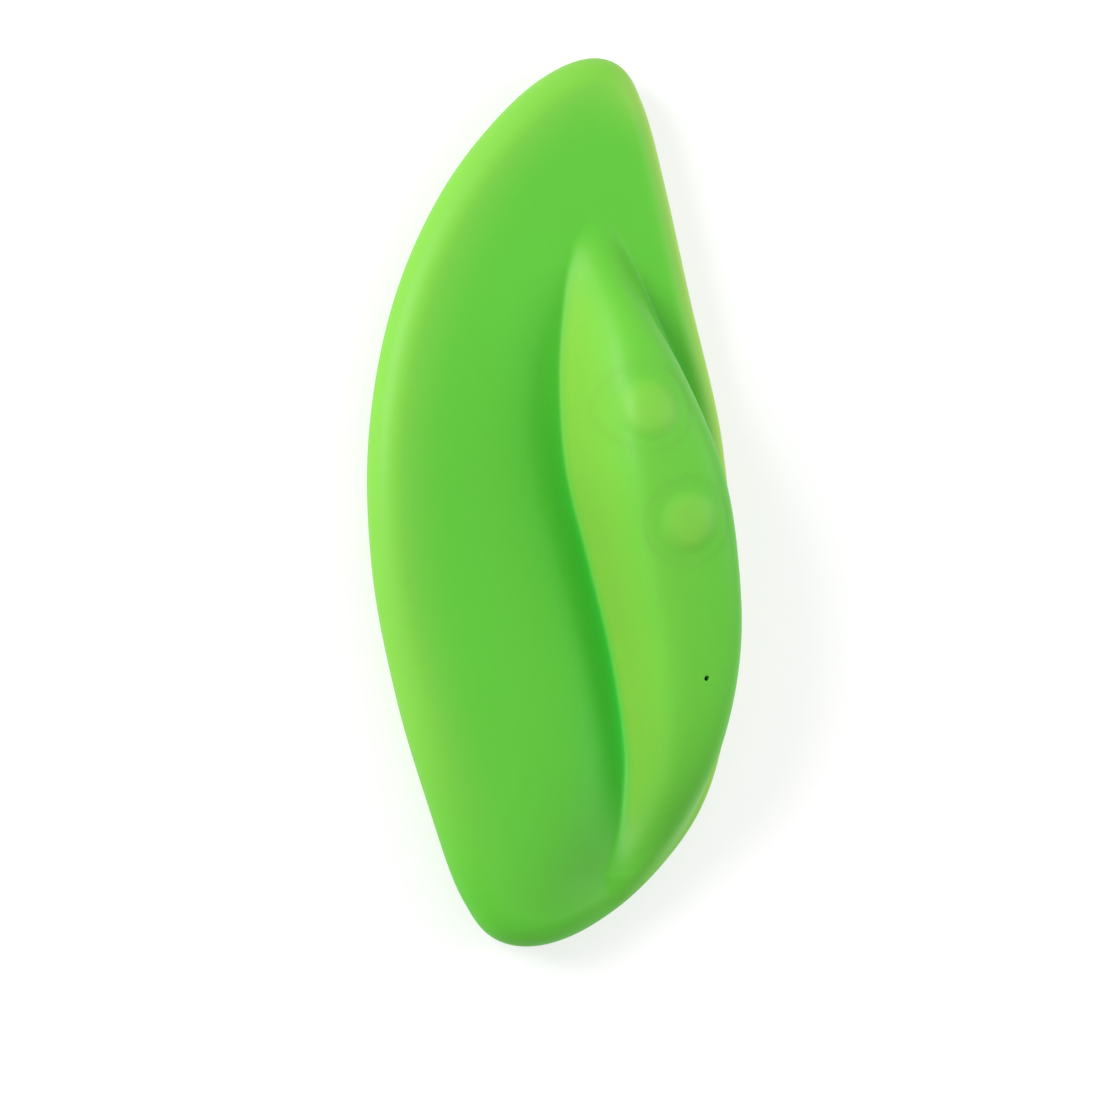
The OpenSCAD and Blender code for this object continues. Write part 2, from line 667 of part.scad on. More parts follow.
module on_jack(z) translate([pinhole_at[0], pinhole_at[1], z]) children();
module jack_housing() color("black") difference() {
    on_jack(jack_bottom) cylinder(r = jack_radius, h = jack_top - jack_bottom);
    on_jack(jack_floor) cylinder(r = jack_bore, h = 5);
    on_jack(jack_bottom - 1) cylinder(r = centre_radius + 0.05, h = 5);
    on_jack(jack_floor) translate([-tail_width / 2 - 0.05, 0, 0]) cube([tail_width + 0.1, 5, 0.4]);
}
module jack_sleeve_contact() color("silver") {
    outer = jack_bore - contact_gap;
    on_jack(jack_floor + 0.05) ring(outer, outer - contact_wall, 1.7);
    on_jack(jack_floor + 0.05) translate([-tail_width / 2, outer - contact_wall / 2, 0])
        cube([tail_width, tail_reach - outer, 0.25]);
}
module jack_centre_contact() color("gold") {
    on_jack(jack_bottom - 0.3) cylinder(r = centre_radius, h = 2.6);
    on_jack(jack_bottom - 0.3) translate([-centre_radius, 0, 0]) cube([2 * centre_radius, tail_reach, 0.2]);
}

// ---- Leads ----

lead_radius = 0.35;
lead_top = board_bottom - 0.15;
function motor_point(x, s, z) = [
    motor_at[0] + x * cos(motor_turn) - s * sin(motor_turn),
    motor_at[1] + x * sin(motor_turn) + s * cos(motor_turn), motor_z + z
];
function unit(v) = v / norm(v);
// Round lead on a smooth curve through the points
module lead(points, steps = 14, sides = 8) {
    last = len(points) - 1;
    table = [for (i = [0:last]) concat([i], points[i])];
    line = [for (i = [0:steps]) [for (c = [1:3]) curve(table, c, last * i / steps)]];
    flat_loft([for (i = [0:steps])
        let (
            ahead = i == steps ? [0, 0, 1] : unit(line[i + 1] - line[max(i - 1, 0)]),
            v = unit(cross([1, 0, 0], ahead)),
            u = cross(ahead, v)
        )
        [for (j = [0:sides - 1]) let (a = 360 * j / sides)
            line[i] + lead_radius * (cos(a) * u - sin(a) * v)]]);
}
module motor_lead(side) {
    start = motor_point(side * terminal_x, -1.5, 0);
    lead([start, start + [0, -1, 0.8], start + [0, -1.5, 2.8], [start[0], start[1] - 1.8, lead_top]]);
}
module battery_lead(x)
    lead([[x, -5.2, 8.95], [x, -5.6, 10.2], [x, -7.2, 12], [x, -7.8, lead_top]]);
module motor_lead_red() color("red") motor_lead(1);
module motor_lead_black() color("black") motor_lead(-1);
module battery_lead_red() color("red") battery_lead(15);
module battery_lead_black() color("black") battery_lead(13.6);
module jack_lead_red() color("red")
    lead([[17.9, -20.4, 10.6], [18.2, -17, 10.5], [18.1, -13, 11.8], [17.6, -10, lead_top]]);
module jack_lead_black() color("black")
    lead([[16.8, -20.4, 9.9], [16, -17, 10], [14.5, -13.2, 11.2], [13.3, -10.2, lead_top]]);

silicone_skin();
front_shell();
back_shell();
shell_screws();
motor_can();
motor_magnets();
motor_end_cap();
motor_front_bush();
motor_rear_bush();
motor_brushes();
motor_terminals();
motor_sleeve();
motor_shaft();
armature_core();
armature_windings();
commutator();
eccentric_weight();
battery_cell();
battery_tabs();
battery_protection_board();
battery_foam_pad();
control_board();
board_screws();
microcontroller();
charge_chip();
board_passives();
indicator_led();
power_switch_base();
power_switch_cover();
power_switch_dome();
power_switch_stem();
mode_switch_base();
mode_switch_cover();
mode_switch_dome();
mode_switch_stem();
power_button_pad();
power_button_plunger();
mode_button_pad();
mode_button_plunger();
jack_housing();
jack_sleeve_contact();
jack_centre_contact();
motor_lead_red();
motor_lead_black();
battery_lead_red();
battery_lead_black();
jack_lead_red();
jack_lead_black();
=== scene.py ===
"""Looks of a leaf-shaped palm massager: a silicone skin over a sealed capsule.

The skin and its two press areas are meshes made here from the leaf's own curves.
Everything inside keeps its CAD shape and gets its finish here.
"""
import json
import math

import bpy
import numpy as np
from mathutils import Matrix, Vector


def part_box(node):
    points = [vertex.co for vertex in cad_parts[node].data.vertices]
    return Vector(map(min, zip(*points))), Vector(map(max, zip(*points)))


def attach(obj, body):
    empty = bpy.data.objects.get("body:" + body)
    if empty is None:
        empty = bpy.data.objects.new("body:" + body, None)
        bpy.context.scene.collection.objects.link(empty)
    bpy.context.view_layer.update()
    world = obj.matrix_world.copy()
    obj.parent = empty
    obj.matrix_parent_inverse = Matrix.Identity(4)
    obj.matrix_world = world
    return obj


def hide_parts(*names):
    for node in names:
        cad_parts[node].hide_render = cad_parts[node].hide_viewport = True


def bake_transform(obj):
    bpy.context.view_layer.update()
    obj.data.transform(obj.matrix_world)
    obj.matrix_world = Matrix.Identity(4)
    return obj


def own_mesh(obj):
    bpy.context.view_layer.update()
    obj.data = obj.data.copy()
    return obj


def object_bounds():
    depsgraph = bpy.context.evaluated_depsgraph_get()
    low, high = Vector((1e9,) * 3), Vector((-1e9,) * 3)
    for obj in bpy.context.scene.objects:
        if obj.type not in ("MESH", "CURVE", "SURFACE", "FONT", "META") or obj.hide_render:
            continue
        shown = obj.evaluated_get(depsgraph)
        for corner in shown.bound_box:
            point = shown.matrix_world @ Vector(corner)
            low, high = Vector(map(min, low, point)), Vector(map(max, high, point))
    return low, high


bl_info = {
    "name": "Leaf Palm Massager",
    "version": (1, 0, 0),
    "blender": (4, 5, 0),
    "location": "View3D > Sidebar > Massager",
    "description": "Skins, finishes and stages a leaf-shaped palm massager",
    "category": "Add Mesh",
}

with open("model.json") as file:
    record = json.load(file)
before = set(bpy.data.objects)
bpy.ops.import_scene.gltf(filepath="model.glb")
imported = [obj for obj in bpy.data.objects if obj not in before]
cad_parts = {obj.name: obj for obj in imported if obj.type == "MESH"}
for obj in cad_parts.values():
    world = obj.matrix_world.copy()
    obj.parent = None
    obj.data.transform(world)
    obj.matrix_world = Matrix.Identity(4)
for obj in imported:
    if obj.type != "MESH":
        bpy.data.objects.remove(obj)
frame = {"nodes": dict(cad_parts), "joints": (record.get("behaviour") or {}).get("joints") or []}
CAD_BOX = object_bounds()
LEAF_LENGTH = CAD_BOX[1][1] - CAD_BOX[0][1]
MM = 0.001

# Share of the half length, centre line's X and half width over the round of the tips, in mm
LEAF_POINTS = np.array([
    (-1, -3.3, 27.2), (-0.9, -0.45, 26.85), (-0.7, 2.48, 27.1), (-0.45, 2.3, 26.8),
    (-0.15, 0.68, 26.25), (0.15, -0.5, 25.5), (0.45, -0.97, 23.7), (0.7, 0.76, 22.15),
    (0.9, 3.99, 20.7), (1, 6.45, 20.5),
])
# Share of the pod's half length, centre line's X, half width, height and hollow's depth, in mm
POD_POINTS = np.array([
    (-1, 11.6, 7, 2.4, 1.8), (-0.8, 15.2, 7.5, 6.2, 2.2), (-0.6, 17.1, 7.75, 9, 2.5),
    (-0.3, 17.05, 8.55, 11.6, 2.6), (0, 15, 9.4, 13.3, 2.4), (0.3, 12.1, 10.4, 13.8, 1.8),
    (0.6, 9.05, 9.95, 11.9, 1), (0.8, 7.1, 9.2, 9.5, 0.4), (1, 5.6, 9, 6.5, 0),
])
POD_MIDDLE = -8.0
POD_HALF = 41.8
POD_ROUNDNESS = 6.0
REST_X = 4.2
CAPSULE_MIDDLE = -2.5
CAPSULE_HALF_WIDTH = 7.9
CAPSULE_HALF_LENGTH = 33.5
CAPSULE_ROUNDNESS = 4.2
CAPSULE_CORNER = 2.0
SKIN_OVER_CAPSULE = 1.1
WHITE = (1.0, 1.0, 1.0)
# Point that the camera looks at, along its own right, up and back, in metres
AIM = (0.00207, -0.00642, 0.008)


def box_centre(node):
    """Middle of a CAD node's box, in millimetres."""
    low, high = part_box(node)
    return (low + high) / 2 / MM


def length_prop(name, description, default):
    return bpy.props.FloatProperty(
        name=name, description=description, default=default, min=0.0, subtype="DISTANCE", unit="LENGTH"
    )


def colour_prop(name, description, default):
    return bpy.props.FloatVectorProperty(
        name=name, description=description, default=default, size=3, min=0.0, max=1.0, subtype="COLOR"
    )


class LeafSizes(bpy.types.PropertyGroup):
    """Sizes of the leaf's skin and press areas."""

    rim_radius: length_prop("Rim radius", "Radius of the leaf's rounded rim", 0.004)
    blade_top: length_prop("Blade height", "Height of the blade's top face", 0.0088)
    dish_rise: length_prop("Dish rise", "Extra height of the blade at its sides", 0.0004)
    tip_rise: length_prop("Tip rise", "Extra height of the blade at its tips", 0.0002)
    belly_side: length_prop("Belly side", "Rise of the underside at its sides", 0.003)
    belly_tip: length_prop("Belly tip", "Rise of the underside at its tips", 0.0026)
    rest_depth: length_prop("Rest depth", "Depth of the flat resting face", 0.00035)
    fillet: length_prop("Fillet", "Size of the fillet between blade and pod", 0.005)
    hollow_width: length_prop("Hollow width", "Width of the hollow beside the pod", 0.012)
    pad_radius: length_prop("Press area radius", "Radius of a press area's dome", 0.0044)
    pad_dome: length_prop("Press area dome", "Height of a press area's dome", 0.0006)
    patch_radius: length_prop("Patch radius", "Radius of skin that flexes round a press area", 0.0059)
    patch_thickness: length_prop("Patch thickness", "Thickness of the flexing skin", 0.0006)
    pinhole_radius: length_prop("Pinhole radius", "Radius of the charging pinhole", 0.00035)


class FinishColours(bpy.types.PropertyGroup):
    """Colours of the finishes."""

    # Plain silicone colour; the painted shade on the lower tip darkens it to 0.8 of itself.
    silicone: colour_prop("Silicone", "Silicone where it is thick", (0.088, 0.45, 0.026))
    # Lighter, yellower colour for painted light on the rims, the pod's left flank and the press areas.
    painted_light_silicone: colour_prop("Silicone with painted light", "Silicone near its rim", (0.34, 0.57, 0.085))
    # Lighter, greener colour for painted fill light in the hollow and the crease beside the pod.
    painted_fill_silicone: colour_prop("Silicone with painted fill light", "Silicone in the hollow", (0.045, 0.58, 0.055))
    shell: colour_prop("Shells", "Plastic of the capsule", (0.72, 0.70, 0.62))
    board: colour_prop("Boards", "Solder mask of the boards", (0.01, 0.09, 0.03))


class StageSettings(bpy.types.PropertyGroup):
    """Camera, lights and floor."""

    tilt: bpy.props.FloatProperty(
        name="Tilt", description="Angle of the view from straight above", default=math.radians(22), subtype="ANGLE"
    )
    distance: length_prop("Distance", "Distance from the camera to the leaf", 1.2140)
    lens: bpy.props.FloatProperty(
        name="Lens", description="Focal length", default=300.0, min=20.0, subtype="DISTANCE_CAMERA"
    )
    floor: colour_prop("Floor", "Colour of the floor", (0.5, 0.5, 0.5))


# ---- The leaf's form, in millimetres ----


def smooth_curve(table, column, t):
    """Smooth curve through a column of a table whose first column rises."""
    k = table[:, 0]
    v = table[:, column]
    slopes = np.empty(len(k))
    slopes[1:-1] = (v[2:] - v[:-2]) / (k[2:] - k[:-2])
    slopes[0] = (v[1] - v[0]) / (k[1] - k[0])
    slopes[-1] = (v[-1] - v[-2]) / (k[-1] - k[-2])
    i = np.clip(np.searchsorted(k, t) - 1, 0, len(k) - 2)
    h = k[i + 1] - k[i]
    u = (t - k[i]) / h
    start = (2 * u**3 - 3 * u**2 + 1) * v[i] + (u**3 - 2 * u**2 + u) * h * slopes[i]
    return start + (3 * u**2 - 2 * u**3) * v[i + 1] + (u**3 - u**2) * h * slopes[i + 1]


def blend_max(a, b, k):
    """Larger of two heights, with a round fillet where they cross."""
    return np.maximum(a, b) + (np.maximum(k - np.abs(a - b), 0) / k) ** 2 * k / 4


def smooth_step(t):
    t = np.clip(t, 0, 1)
    return t * t * (3 - 2 * t)


def dome(reach, roundness):
    return np.sqrt(np.maximum(0, 1 - np.minimum(reach, 1) ** roundness))


class LeafForm:
    """Heights of the leaf's two faces over X and Y, in millimetres."""

    def __init__(self, sizes):
        self.half = LEAF_LENGTH / MM / 2
        self.rim = sizes.rim_radius / MM
        self.blade_top = sizes.blade_top / MM
        self.dish_rise = sizes.dish_rise / MM
        self.tip_rise = sizes.tip_rise / MM
        self.belly_side = sizes.belly_side / MM
        self.belly_tip = sizes.belly_tip / MM
        self.rest_depth = sizes.rest_depth / MM
        self.fillet = sizes.fillet / MM
        self.hollow_width = sizes.hollow_width / MM
        self.pad_radius = sizes.pad_radius / MM
        self.pad_dome = sizes.pad_dome / MM
        self.pads = [box_centre(node) for node in ("power_button_plunger", "mode_button_plunger")]

    def middle(self, y):
        return smooth_curve(LEAF_POINTS, 1, y / self.half)

    def half_width(self, y):
        share = np.clip(y / self.half, -1, 1)
        return smooth_curve(LEAF_POINTS, 2, share) * np.sqrt(np.maximum(0, 1 - share**2))

    def pod(self, y, column):
        return smooth_curve(POD_POINTS, column, np.clip((y - POD_MIDDLE) / POD_HALF, -1, 1))

    def reach(self, x, y):
        """0 on the pod's top line and 1 on its foot."""
        return np.hypot((y - POD_MIDDLE) / POD_HALF, (x - self.pod(y, 1)) / self.pod(y, 2))

    def depth(self, x, y):
        """Distance inside the outline, in millimetres."""
        step = 0.02
        low = np.maximum(y - step, -self.half)
        high = np.minimum(y + step, self.half)
        off = x - self.middle(y)
        slope = (self.half_width(high) ** 2 - self.half_width(low) ** 2) / (high - low)
        drift = (self.middle(high) - self.middle(low)) / (high - low)
        inside = np.maximum(self.half_width(y) ** 2 - off**2, 0)
        return inside / np.maximum(np.hypot(2 * off, slope + 2 * off * drift), 1e-6)

    def rim_share(self, x, y):
        return dome(1 - np.minimum(self.depth(x, y) / self.rim, 1), 2)

    def belly(self, x, y):
        rise = self.belly_side * ((x - REST_X) / 30) ** 2 + self.belly_tip * (y / self.half) ** 2
        return blend_max(rise - self.rest_depth, 0, 0.1)

    def blade(self, x, y):
        out = np.clip((self.reach(x, y) - 1) * self.pod(y, 2) / self.hollow_width, 0, 1)
        rise = self.dish_rise * ((x - self.middle(y)) / 26) ** 2 + self.tip_rise * (y / self.half) ** 2
        return self.blade_top + rise - self.pod(y, 4) * (1 - out) ** 5 * (1 + 5 * out)

    def full_top(self, x, y):
        rise = self.pod(y, 3) * (1 - self.reach(x, y) ** POD_ROUNDNESS)
        return self.blade(x, y) + blend_max(rise, 0, self.fillet)

    def crown(self, x, y):
        """Extra height of the press areas' soft domes."""
        total = 0
        for pad in self.pads:
            share = np.minimum(1, np.hypot(x - pad.x, y - pad.y) / self.pad_radius)
            total = total + self.pad_dome * (1 - share**4) ** 2
        return total

    def rim_height(self, x, y):
        return (self.blade(x, y) + self.belly(x, y)) / 2

    def top(self, x, y):
        rim = self.rim_height(x, y)
        return rim + (self.full_top(x, y) - rim) * self.rim_share(x, y) + self.crown(x, y)

    def low(self, x, y):
        rim = self.rim_height(x, y)
        return rim + (self.belly(x, y) - rim) * self.rim_share(x, y)

    def crest(self, y):
        x = self.pod(y, 1)
        return self.blade(x, y) + self.pod(y, 3) * (1 - np.abs((y - POD_MIDDLE) / POD_HALF) ** POD_ROUNDNESS)


# ---- Meshes from rings ----


def ring_faces(rings, count, first=0):
    """Quads between neighbouring rings, facing outwards for rings that run clockwise seen from behind."""
    i = np.arange(rings - 1)[:, None] * count + first
    j = np.arange(count)[None, :]
    k = (j + 1) % count
    return np.stack([i + j, i + k, i + count + k, i + count + j], axis=-1).reshape(-1, 4)


def closed_rings(rings, tips):
    """A closed mesh over rings of equal size, with a point at each end."""
    count = len(rings[0])
    last = (len(rings) - 1) * count
    first_tip = len(rings) * count
    around = [(j, (j + 1) % count) for j in range(count)]
    faces = list(ring_faces(len(rings), count))
    faces += [(first_tip, k, j) for j, k in around]
    faces += [(first_tip + 1, last + j, last + k) for j, k in around]
    return Mesh(np.vstack([np.concatenate(rings), tips]), faces)


def even_steps(x, z, count):
    """count values of x at even steps of length along the line x, z."""
    run = np.concatenate([[0], np.cumsum(np.hypot(np.diff(x), np.diff(z)))])
    return np.interp(np.linspace(0, run[-1], count), run, x)


class Mesh:
    """Points and faces of a mesh that is still being put together, in millimetres."""

    def __init__(self, points, faces):
        self.points = np.asarray(points, float)
        self.faces = [tuple(int(i) for i in face) for face in faces]

    def normals(self):
        """Normals at the points, weighted by the faces' areas."""
        total = np.zeros_like(self.points)
        for size in (3, 4):
            faces = np.array([f for f in self.faces if len(f) == size], int)
            if not len(faces):
                continue
            corners = self.points[faces]
            across = corners[:, 2] - corners[:, 0]
            other = corners[:, -1] - corners[:, 1]
            area = np.cross(across, other) / 2
            for column in range(size):
                np.add.at(total, faces[:, column], area)
        return total / np.maximum(np.linalg.norm(total, axis=1, keepdims=True), 1e-12)

    def centres(self):
        return np.array([self.points[list(face)].mean(axis=0) for face in self.faces])

    def add(self, other):
        shift = len(self.points)
        self.points = np.vstack([self.points, other.points])
        self.faces += [tuple(i + shift for i in face) for face in other.faces]
        return shift

    def take(self, chosen):
        """Removes the chosen faces and gives them back with the loop of points round them, in order."""
        removed = [face for face, pick in zip(self.faces, chosen) if pick]
        self.faces = [face for face, pick in zip(self.faces, chosen) if not pick]
        return removed, outer_loop(removed)


def outer_loop(faces):
    """Points along the single open edge of a sheet of faces, in the faces' own sense."""
    edges = {(f[i], f[(i + 1) % len(f)]) for f in faces for i in range(len(f))}
    following = {a: b for a, b in edges if (b, a) not in edges}
    start = next(iter(sorted(following)))
    loop = [start]
    while following[loop[-1]] != start:
        loop.append(following[loop[-1]])
    if len(loop) != len(following):
        raise RuntimeError("the sheet has more than one open edge")
    return loop


def zip_loops(points, outer, inner, centre):
    """Triangles between two loops that run the same way round a centre line along Z."""

    def unwrapped(loop):
        xy = points[loop][:, :2] - np.array(centre[:2])
        return np.unwrap(np.arctan2(xy[:, 1], xy[:, 0]))

    a = unwrapped(outer + outer[:1])
    b = unwrapped(inner + inner[:1])
    turn = round((a[0] - b[0]) / (2 * math.pi)) * 2 * math.pi
    shift = int(np.argmin(np.abs((b[:-1] + turn - a[0] + math.pi) % (2 * math.pi) - math.pi)))
    inner = inner[shift:] + inner[:shift]
    b = unwrapped(inner + inner[:1])
    b = b + round((a[0] - b[0]) / (2 * math.pi)) * 2 * math.pi
    sense = math.copysign(1, a[-1] - a[0])
    faces = []
    i = j = 0
    while i < len(outer) or j < len(inner):
        outer_first = j == len(inner) or (i < len(outer) and sense * a[i + 1] <= sense * b[j + 1])
        p = outer[i % len(outer)]
        q = inner[j % len(inner)]
        if outer_first:
            faces.append((p, outer[(i + 1) % len(outer)], q))
            i += 1
        else:
            faces.append((p, inner[(j + 1) % len(inner)], q))
            j += 1
    return faces


def leaf_mesh(form, stations=360, top_points=230, low_points=70):
    """The leaf's closed outer surface. Rings run along the leaf, with a point at each tip."""
    half_turns = np.pi * np.arange(1, stations - 1) / (stations - 1)
    fine = np.sin(np.pi * np.linspace(-1, 1, 901) / 2)
    rings = []
    for y in -form.half * np.cos(half_turns):
        x = form.middle(y) + form.half_width(y) * fine
        upper = even_steps(x, form.top(x, y), top_points)
        lower = even_steps(x, form.low(x, y), low_points)[::-1][1:-1]
        row = np.concatenate([upper, lower])
        heights = np.concatenate([form.top(upper, y), form.low(lower, y)])
        rings.append(np.stack([row, np.full(len(row), y), heights], axis=1))
    tips = [(form.middle(y), y, form.rim_height(form.middle(y), y)) for y in (-form.half, form.half)]
    return closed_rings(rings, tips)


def snap_dome_mesh(node, sheet=0.1, circles=10, segments=48):
    """Thin spherical dome with the size and the place of a CAD dome."""
    low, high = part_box(node)
    centre = box_centre(node)
    foot = (high.x - low.x) / 2 / MM
    rise = (high.z - low.z) / MM
    ball = (foot**2 + rise**2) / (2 * rise)
    middle = low.z / MM + rise - ball
    inner_foot = math.sqrt((ball - sheet) ** 2 - (ball - rise) ** 2)
    over = foot * np.linspace(0, 1, circles)
    under = inner_foot * np.linspace(1, 0, circles)
    radii = np.concatenate([over, under])
    heights = middle + np.concatenate([np.sqrt(ball**2 - over**2), np.sqrt((ball - sheet) ** 2 - under**2)])
    turns = -2 * np.pi * np.arange(segments) / segments
    rings = [
        np.stack([centre.x + r * np.cos(turns), centre.y + r * np.sin(turns), np.full(segments, z)], axis=1)
        for r, z in zip(radii[1:-1], heights[1:-1])
    ]
    return closed_rings(rings, [(centre.x, centre.y, heights[0]), (centre.x, centre.y, heights[-1])])


def cavity_mesh(form, gap=0.1, stations=60, dome_points=70):
    """Inner surface of the skin, round the capsule. Its faces look inwards."""
    half_length = CAPSULE_HALF_LENGTH + gap
    half_width = CAPSULE_HALF_WIDTH + gap
    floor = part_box("back_shell")[0].z / MM - gap
    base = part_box("front_shell")[0].z / MM + 0.4
    rings = []
    for turn in np.radians(np.linspace(4, 176, stations)):
        y = CAPSULE_MIDDLE - half_length * math.cos(turn)
        width = half_width * math.sin(turn)
        corner = min(CAPSULE_CORNER + gap, 0.6 * width)
        middle = form.pod(y, 1)
        rising = np.radians(np.linspace(90, 0, 7))
        side_x = width - corner + corner * np.cos(rising)
        side_z = floor + corner - corner * np.sin(rising)
        x = -width * np.cos(np.pi * np.linspace(0, 1, dome_points))
        reach = np.hypot(math.cos(turn), x / half_width)
        rise = form.crest(y) - SKIN_OVER_CAPSULE - base + gap
        row = np.concatenate([middle - side_x, middle + x, middle + side_x[::-1]])
        heights = np.concatenate([side_z, base + rise * dome(reach, CAPSULE_ROUNDNESS), side_z[::-1]])
        rings.append(np.stack([row, np.full(len(row), y), heights], axis=1))
    count = len(rings[0])
    last = (len(rings) - 1) * count
    faces = [face[::-1] for face in ring_faces(len(rings), count)]
    faces += [tuple(range(count))]
    faces += [tuple(last + j for j in range(count - 1, -1, -1))]
    return Mesh(np.concatenate(rings), faces)


def near(mesh, centre, radius, above):
    """Which faces have their middle within a radius of a vertical line, above a height."""
    middles = mesh.centres()
    inside = np.hypot(middles[:, 0] - centre[0], middles[:, 1] - centre[1]) < radius
    return inside & (middles[:, 2] > above)


def build_object(name, mesh, normals, tones):
    """A Blender object in metres from a mesh in millimetres, shaded with the normals given."""
    used = sorted({i for face in mesh.faces for i in face})
    renumber = np.full(len(mesh.points), -1)
    renumber[used] = np.arange(len(used))
    data = bpy.data.meshes.new(name)
    data.from_pydata(
        (mesh.points[used] * MM).tolist(), [], [[int(renumber[i]) for i in face] for face in mesh.faces]
    )
    data.shade_smooth()
    data.normals_split_custom_set_from_vertices(normals[used].tolist())
    for label, values in tones.items():
        layer = data.attributes.new(label, "FLOAT", "POINT")
        layer.data.foreach_set("value", values[used].astype(np.float32))
    obj = bpy.data.objects.new(name, data)
    bpy.context.scene.collection.objects.link(obj)
    return obj


def closed_patch(mesh, faces, loop, normals, thickness):
    """A sheet of faces made into a closed pad of even thickness. Gives its mesh and normals."""
    used = sorted({i for face in faces for i in face})
    under = {point: len(used) + place for place, point in enumerate(used)}
    over = {point: place for place, point in enumerate(used)}
    points = np.vstack([mesh.points[used], mesh.points[used] - normals[used] * thickness])
    made = [tuple(over[i] for i in face) for face in faces]
    made += [tuple(under[i] for i in face[::-1]) for face in faces]
    for a, b in zip(loop, loop[1:] + loop[:1]):
        made.append((over[b], over[a], under[a], under[b]))
    return Mesh(points, made), np.vstack([normals[used], -normals[used]]), used


def drill_pinhole(mesh, form, centre, radius, reach=1.7):
    """Opens the outer surface at the pinhole and gives it a rounded lip. Gives the loop at its foot."""
    _, loop = mesh.take(near(mesh, centre, reach, form.blade_top))
    rim = mesh.points[loop]
    turns = np.arctan2(rim[:, 1] - centre[1], rim[:, 0] - centre[0])
    round_edge = np.stack([np.cos(turns), np.sin(turns)], axis=1)
    middle = np.array(centre[:2])

    def flat_ring(size, share, drop):
        xy = rim[:, :2] * (1 - share) + (middle + round_edge * size) * share
        return np.column_stack([xy, form.top(xy[:, 0], xy[:, 1]) - drop])

    lip = radius * 0.35
    rings = [flat_ring(radius + lip, share, 0) for share in (0.3, 0.6, 0.85, 1)]
    for angle in np.radians([25, 50, 75, 90]):
        rings.append(flat_ring(radius + lip * (1 - math.sin(angle)), 1, lip * (1 - math.cos(angle))))
    for drop in (0.5, 1.1, 1.8):
        rings.append(flat_ring(radius, 1, drop))
    count = len(loop)
    start = len(mesh.points)
    mesh.points = np.vstack([mesh.points] + rings)
    loops = [loop] + [list(range(start + i * count, start + (i + 1) * count)) for i in range(len(rings))]
    for outer, inner in zip(loops, loops[1:]):
        for j in range(count):
            k = (j + 1) % count
            mesh.faces.append((outer[j], outer[k], inner[k], inner[j]))
    return loops[-1]


# ---- Shader maths ----


class Value:
    """A socket in a node tree. Sums and products of values add Math nodes."""

    def __init__(self, shader, socket):
        self.shader = shader
        self.socket = socket

    def maths(self, operation, *others):
        return self.shader.node("ShaderNodeMath", {"operation": operation}, dict(enumerate((self, *others))))

    def __add__(self, other):
        return self.maths("ADD", other)

    def __sub__(self, other):
        return self.maths("SUBTRACT", other)

    def __rsub__(self, other):
        return self.shader.node("ShaderNodeMath", {"operation": "SUBTRACT"}, {0: other, 1: self})

    def __mul__(self, other):
        return self.maths("MULTIPLY", other)

    def __pow__(self, other):
        return self.maths("POWER", other)

    def __gt__(self, other):
        return self.maths("GREATER_THAN", other)

    __radd__ = __add__
    __rmul__ = __mul__


class Shader:
    """A material that is being built from nodes."""

    def __init__(self, name):
        self.material = bpy.data.materials.new(name)
        self.material.use_nodes = True
        self.tree = self.material.node_tree
        self.tree.nodes.clear()
        self.place = self.node("ShaderNodeTexCoord", output="Object")

    def node(self, kind, settings=None, inputs=None, output=0):
        """Adds a node, sets it up, then gives its sockets their values or links."""
        made = self.tree.nodes.new(kind)
        for name, value in (settings or {}).items():
            if name == "stops":
                for spot, (position, colour) in zip(made.color_ramp.elements, value):
                    spot.position = position
                    spot.color = colour
            else:
                setattr(made, name, value)
        for name, value in (inputs or {}).items():
            if isinstance(value, Value):
                self.tree.links.new(value.socket, made.inputs[name])
            else:
                made.inputs[name].default_value = value
        return Value(self, made.outputs[output])

    def noise(self, scale, detail=2.0, stretch=(1, 1, 1)):
        place = self.node("ShaderNodeMapping", inputs={"Vector": self.place, "Scale": stretch})
        return self.node("ShaderNodeTexNoise", inputs={"Vector": place, "Scale": scale, "Detail": detail})

    def cells(self, scale, feature="F1"):
        return self.node(
            "ShaderNodeTexVoronoi", {"feature": feature}, {"Vector": self.place, "Scale": scale}, "Distance"
        )

    def bands(self, scale, direction, turn=0.0):
        place = self.node("ShaderNodeMapping", inputs={"Vector": self.place, "Rotation": (0, 0, turn)})
        settings = {"wave_type": "BANDS", "bands_direction": direction}
        return self.node("ShaderNodeTexWave", settings, {"Vector": place, "Scale": scale})

    def mix(self, amount, a, b):
        """Colour a where amount is 0 and b where it is 1."""
        sockets = {"Factor": amount, 6: rgba(a), 7: rgba(b)}
        return self.node("ShaderNodeMix", {"data_type": "RGBA"}, sockets, output=2)

    def bump(self, height, depth, strength=1.0):
        return self.node("ShaderNodeBump", inputs={"Height": height, "Distance": depth, "Strength": strength})

    def finish(self, **sockets):
        """Joins everything in one Principled shader and gives the finished material."""
        inputs = {name.replace("_", " "): value for name, value in sockets.items()}
        body = self.node("ShaderNodeBsdfPrincipled", inputs=inputs)
        self.node_output(body)
        return self.material

    def node_output(self, body):
        output = self.tree.nodes.new("ShaderNodeOutputMaterial")
        self.tree.links.new(body.socket, output.inputs["Surface"])


def rgba(colour):
    """Colours get an alpha of 1; links stay as they are."""
    return colour if isinstance(colour, Value) else (*tuple(colour)[:3], 1.0)


def shade(colour, factor):
    return tuple(min(1.0, c * factor) for c in colour)


